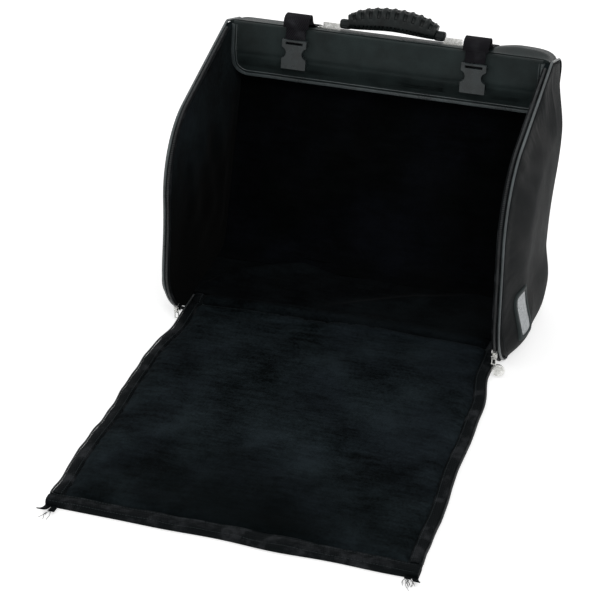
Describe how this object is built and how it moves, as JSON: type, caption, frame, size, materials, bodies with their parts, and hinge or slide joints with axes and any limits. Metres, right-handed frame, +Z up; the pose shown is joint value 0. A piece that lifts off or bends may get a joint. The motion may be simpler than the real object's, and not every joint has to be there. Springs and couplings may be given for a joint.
{
  "type": "accordion case",
  "caption": "Soft padded carrying case: upright box whose hinged padded front panel folds down, with a buckled top flap, side zips and a carrying handle.",
  "frame": {"origin": "middle of the flat base, on the ground", "axes": "+X to the right seen from the open front, +Y to the back, +Z up; the open front panel lies along -Y"},
  "size_m": [0.5634, 0.8479, 0.4009],
  "materials": {
    "nylon": "woven nylon",
    "plush": "short plush pile",
    "foam": "closed-cell padding",
    "board": "stiffener board",
    "binding": "glossy leather-look edging",
    "zip_tape": "woven zip tape",
    "zip_coil": "nylon coil",
    "webbing": "ribbed webbing",
    "buckle": "moulded acetal",
    "handle_rubber": "moulded grip",
    "core_steel": "spring strip",
    "plated": "plated metal",
    "window": "clear film",
    "card": "blank label card"
  },
  "bodies": {
    "case": {"back_cover": "nylon", "back_foam": "foam", "back_lining": "plush", "base_board": "board", "base_cover": "nylon", "base_lining": "plush", "handle_cap_left": "plated", "handle_cap_right": "plated", "handle_screws": "plated", "label_card": "card", "label_frame": "binding", "label_window": "window", "piping_left": "binding", "piping_right": "binding", "side_cover_left": "nylon", "side_cover_right": "nylon", "side_foam_left": "foam", "side_foam_right": "foam", "side_lining_left": "plush", "side_lining_right": "plush", "strap_left": "webbing", "strap_right": "webbing", "top_board": "board", "top_cover": "nylon", "top_lining": "plush", "zip_coil_left": "zip_coil", "zip_coil_right": "zip_coil", "zip_tape_left": "zip_tape", "zip_tape_right": "zip_tape"},
    "flap": {"flap_cover": "binding", "flap_board": "board", "flap_lining": "plush", "flap_binding": "binding"},
    "buckle_left": {"buckle_socket_left": "buckle"},
    "buckle_right": {"buckle_socket_right": "buckle"},
    "handle": {"handle_loop_left": "handle_rubber", "handle_loop_right": "handle_rubber", "handle_core": "core_steel", "handle_grip": "handle_rubber"},
    "slider_left": {"zip_slider_left": "plated"},
    "slider_right": {"zip_slider_right": "plated"},
    "puller_left": {"zip_puller_left": "plated"},
    "puller_right": {"zip_puller_right": "plated"},
    "gusset": {"gusset_cover": "nylon", "gusset_lining": "plush", "gusset_zip": "zip_tape"},
    "panel_lower": {"panel_lower_cover": "nylon", "panel_lower_lining": "plush", "panel_lower_zip": "zip_tape"},
    "panel_corner": {"panel_corner_cover": "nylon", "panel_corner_lining": "plush", "panel_corner_zip": "zip_tape"},
    "panel_top": {"panel_top_cover": "nylon", "panel_top_lining": "plush", "panel_top_zip": "zip_tape", "front_hem": "nylon", "plug_anchors": "webbing"},
    "plug_left": {"buckle_plug_left": "buckle"},
    "plug_right": {"buckle_plug_right": "buckle"}
  },
  "joints": [
    {"name": "gusset_hinge", "type": "hinge", "parent": "case", "child": "gusset", "pos_m": [0, -0.09, 0.014], "axis": [-1, 0, 0], "range_deg": [0, 20.6]},
    {"name": "panel_fold_low", "type": "hinge", "parent": "gusset", "child": "panel_lower", "pos_m": [0, -0.1615, 0.014], "axis": [-1, 0, 0], "range_deg": [0, 69.5]},
    {"name": "panel_fold_high", "type": "hinge", "parent": "panel_lower", "child": "panel_corner", "pos_m": [0, -0.3775, 0.014], "axis": [-1, 0, 0], "range_deg": [0, 39.1]},
    {"name": "panel_fold_top", "type": "hinge", "parent": "panel_corner", "child": "panel_top", "pos_m": [0, -0.4615, 0.014], "axis": [-1, 0, 0], "range_deg": [0, 39.1]},
    {"name": "flap_hinge", "type": "hinge", "parent": "case", "child": "flap", "pos_m": [0, 0.134, 0.36462], "axis": [-1, 0, 0], "range_deg": [0, 90]},
    {"name": "buckle_swing_left", "type": "hinge", "parent": "flap", "child": "buckle_left", "pos_m": [-0.135, 0.12376, 0.3512], "axis": [-1, 0, 0], "range_deg": [0, 60]},
    {"name": "buckle_swing_right", "type": "hinge", "parent": "flap", "child": "buckle_right", "pos_m": [0.135, 0.12376, 0.3512], "axis": [-1, 0, 0], "range_deg": [0, 60]},
    {"name": "handle_tilt", "type": "hinge", "parent": "case", "child": "handle", "pos_m": [0, 0.17176, 0.36418], "axis": [-1, 0, 0], "range_deg": [-30, 55]},
    {"name": "zip_slide_left", "type": "hinge", "parent": "case", "child": "slider_left", "pos_m": [0, -0.04822, 0.095], "axis": [-1, 0, 0], "range_deg": [0, 28]},
    {"name": "zip_slide_right", "type": "hinge", "parent": "case", "child": "slider_right", "pos_m": [0, -0.04822, 0.095], "axis": [-1, 0, 0], "range_deg": [0, 17]},
    {"name": "puller_swing_left", "type": "hinge", "parent": "slider_left", "child": "puller_left", "pos_m": [-0.239, -0.13173, 0.01713], "axis": [-1, 0, 0], "range_deg": [0, 110]},
    {"name": "puller_swing_right", "type": "hinge", "parent": "slider_right", "child": "puller_right", "pos_m": [0.239, -0.14609, 0.03619], "axis": [-1, 0, 0], "range_deg": [0, 110]},
    {"name": "plug_swing_left", "type": "hinge", "parent": "panel_top", "child": "plug_left", "pos_m": [-0.135, -0.583, 0.0017], "axis": [-1, 0, 0], "range_deg": [0, 110]},
    {"name": "plug_swing_right", "type": "hinge", "parent": "panel_top", "child": "plug_right", "pos_m": [0.135, -0.583, 0.0017], "axis": [-1, 0, 0], "range_deg": [0, 110]}
  ],
  "couplings": [
    {"joint": "gusset_hinge", "follows": "panel_fold_low", "ratio": 0.29496},
    {"joint": "panel_fold_high", "follows": "panel_fold_low", "ratio": 0.56115},
    {"joint": "panel_fold_top", "follows": "panel_fold_low", "ratio": 0.56115}
  ]
}
